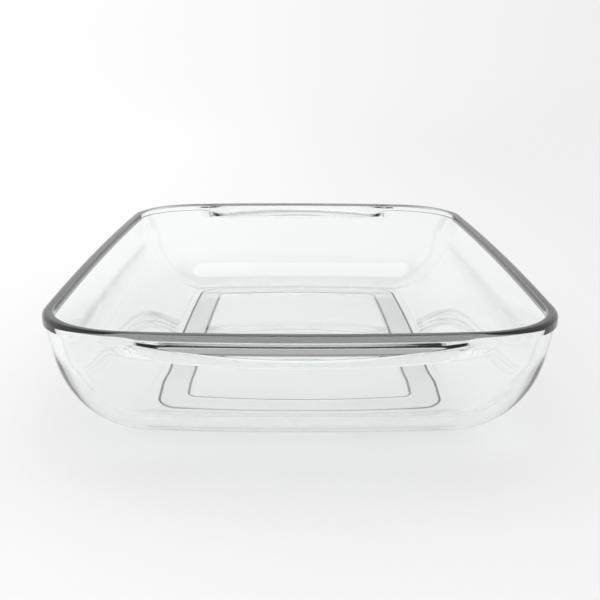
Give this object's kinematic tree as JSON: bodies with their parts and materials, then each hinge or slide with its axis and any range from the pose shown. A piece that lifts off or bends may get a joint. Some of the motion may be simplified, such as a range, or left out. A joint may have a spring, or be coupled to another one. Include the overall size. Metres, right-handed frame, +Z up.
{
  "type": "lasagna dish",
  "caption": "Rectangular clear glass oven dish with bowed sides, curved walls, a rounded lip, a flat lug at each short end and a foot ring.",
  "frame": {"origin": "centre of the foot ring's resting plane", "axes": "+X across the width, +Y along the length from one end lug to the other, +Z up out of the mouth"},
  "size_m": [0.24, 0.39, 0.062],
  "materials": {
    "clear_glass": "fire-polished clear pressed glass"
  },
  "bodies": {
    "root": {"glass_dish": "clear_glass"}
  },
  "joints": []
}
